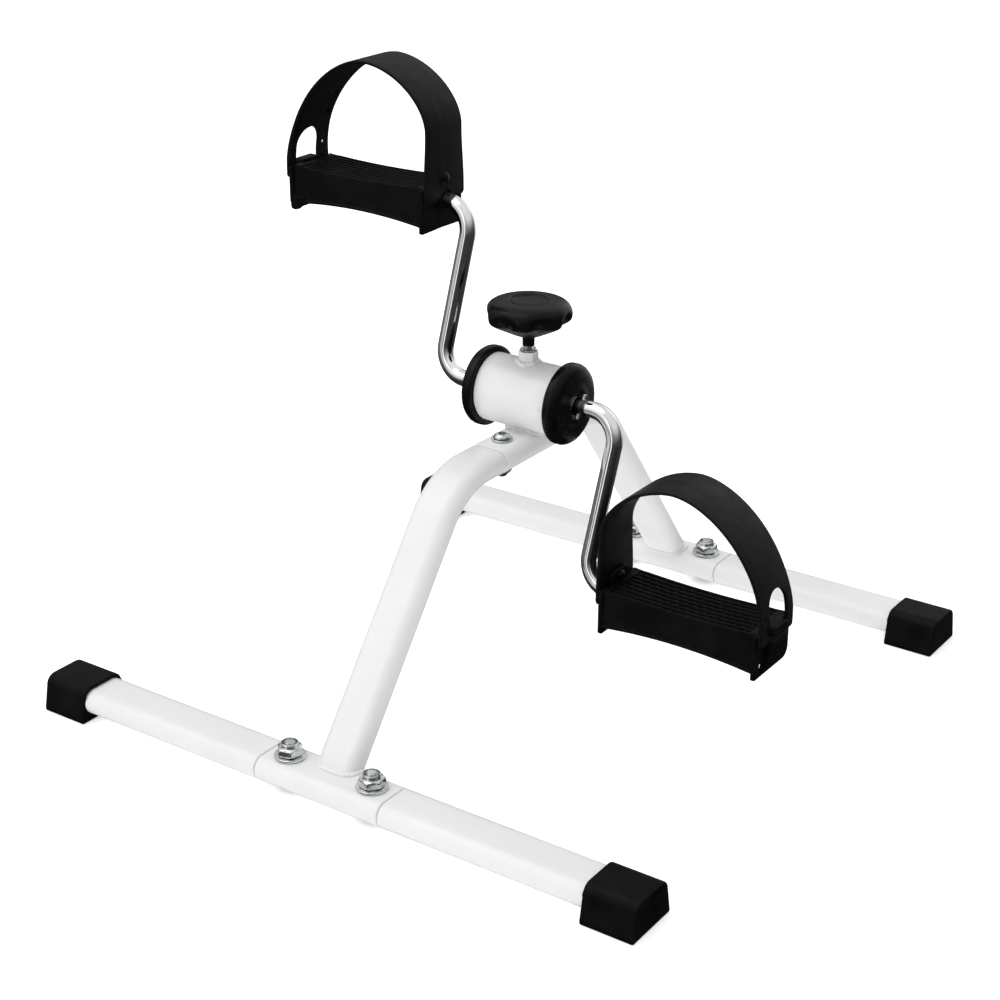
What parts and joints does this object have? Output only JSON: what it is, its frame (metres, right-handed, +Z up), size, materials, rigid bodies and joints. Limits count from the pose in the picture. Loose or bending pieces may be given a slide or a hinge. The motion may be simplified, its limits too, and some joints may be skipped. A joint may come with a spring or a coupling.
{
  "type": "pedal exerciser",
  "caption": "Tabletop pedal exerciser: bent white tube frame on bar feet with black caps, chromed crank in a drum housing, strapped pedals and a lobed tension knob.",
  "frame": {"origin": "on the floor, at the middle of the two foot bars' footprint", "axes": "+Z up; X along the foot bars with the right pedal towards +X; -Y towards the front foot bar, where the bent front leg stands"},
  "size_m": [0.4, 0.3922, 0.353],
  "materials": {
    "powder_coat_white": "gloss white powder coat",
    "foot_cap_black": "black moulded vinyl, satin",
    "pedal_black": "black moulded polypropylene, lightly grained",
    "moulded_black": "black moulded plastic, semi-matt",
    "strap_black": "black flexible vinyl strap, satin",
    "chrome_rod": "bright chromed steel",
    "zinc_fastener": "bright zinc plate",
    "plain_steel": "plain turned steel",
    "nylon_natural": "natural nylon",
    "brake_felt": "dense brown felt"
  },
  "bodies": {
    "frame": {"front_leg": "powder_coat_white", "top_tube": "powder_coat_white", "housing_shell": "powder_coat_white", "tension_boss": "powder_coat_white", "thread_insert": "zinc_fastener", "joint_bolt": "zinc_fastener", "joint_washer": "zinc_fastener", "joint_nut": "zinc_fastener", "front_sleeve": "powder_coat_white", "front_foot_tube_left": "powder_coat_white", "front_foot_cap_left": "foot_cap_black", "front_bolt_left": "zinc_fastener", "front_washer_left": "zinc_fastener", "front_nut_left": "zinc_fastener", "front_foot_tube_right": "powder_coat_white", "front_foot_cap_right": "foot_cap_black", "front_bolt_right": "zinc_fastener", "front_washer_right": "zinc_fastener", "front_nut_right": "zinc_fastener", "rear_sleeve": "powder_coat_white", "rear_foot_tube_left": "powder_coat_white", "rear_foot_cap_left": "foot_cap_black", "rear_bolt_left": "zinc_fastener", "rear_washer_left": "zinc_fastener", "rear_nut_left": "zinc_fastener", "rear_foot_tube_right": "powder_coat_white", "rear_foot_cap_right": "foot_cap_black", "rear_bolt_right": "zinc_fastener", "rear_washer_right": "zinc_fastener", "rear_nut_right": "zinc_fastener", "end_cap_left": "moulded_black", "bush_left": "nylon_natural", "end_cap_right": "moulded_black", "bush_right": "nylon_natural"},
    "crankset": {"friction_drum": "plain_steel", "crank_left": "chrome_rod", "drum_pin_left": "plain_steel", "retaining_pin_left": "plain_steel", "pedal_collar_left": "plain_steel", "pedal_retainer_left": "plain_steel", "crank_right": "chrome_rod", "drum_pin_right": "plain_steel", "retaining_pin_right": "plain_steel", "pedal_collar_right": "plain_steel", "pedal_retainer_right": "plain_steel"},
    "pedal_left": {"pedal_left": "pedal_black", "strap_left": "strap_black", "strap_stud_left": "moulded_black"},
    "pedal_right": {"pedal_right": "pedal_black", "strap_right": "strap_black", "strap_stud_right": "moulded_black"},
    "brake": {"brake_shoe": "nylon_natural", "brake_lining": "brake_felt"},
    "tension_knob": {"knob_body": "moulded_black", "knob_cap": "moulded_black", "tension_screw": "zinc_fastener"}
  },
  "joints": [
    {"name": "crank_spin", "type": "hinge", "parent": "frame", "child": "crankset", "pos_m": [0, 0.0075, 0.177], "axis": [1, 0, 0], "continuous": true},
    {"name": "pedal_left_spin", "type": "hinge", "parent": "crankset", "child": "pedal_left", "pos_m": [-0.12, 0.02744, 0.27499], "axis": [1, 0, 0], "continuous": true},
    {"name": "pedal_right_spin", "type": "hinge", "parent": "crankset", "child": "pedal_right", "pos_m": [0.12, -0.01244, 0.07901], "axis": [1, 0, 0], "continuous": true},
    {"name": "brake_travel", "type": "slide", "parent": "frame", "child": "brake", "axis": [0, 0, 1], "range_m": [-0.00046, 0.00304]},
    {"name": "knob_turn", "type": "hinge", "parent": "brake", "child": "tension_knob", "pos_m": [0, 0.0075, 0.22], "axis": [0, 0, 1], "range_deg": [-158, 1080]}
  ],
  "couplings": [
    {"joint": "brake_travel", "follows": "knob_turn", "m_per_rad": 0.00015915}
  ]
}
